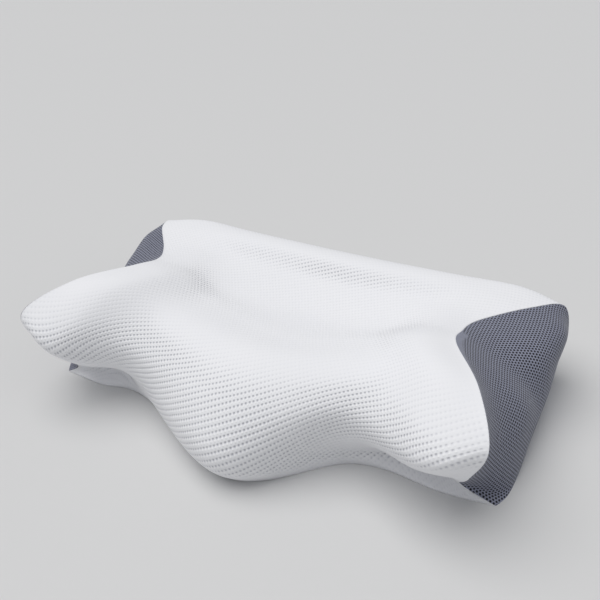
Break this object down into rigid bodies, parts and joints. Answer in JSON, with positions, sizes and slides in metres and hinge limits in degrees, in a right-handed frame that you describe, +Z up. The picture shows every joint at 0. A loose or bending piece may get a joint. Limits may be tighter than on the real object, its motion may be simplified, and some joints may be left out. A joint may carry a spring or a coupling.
{
  "type": "cervical pillow",
  "caption": "Butterfly-shaped neck pillow with raised wings, a neck roll between them, a hollow for the head and a mesh panel let into each end.",
  "frame": {"origin": "middle of the flat base, on the surface the pillow lies on", "axes": "+X from the left end to the right end as seen from the neck side, +Y from the neck side to the back edge, +Z up"},
  "size_m": [0.5996, 0.4073, 0.1404],
  "materials": {
    "white_knit": "matt quilted knit",
    "grey_mesh": "matt open mesh"
  },
  "bodies": {
    "root": {"pillow_body": "white_knit", "mesh_panel_left": "grey_mesh", "mesh_panel_right": "grey_mesh"}
  },
  "joints": []
}
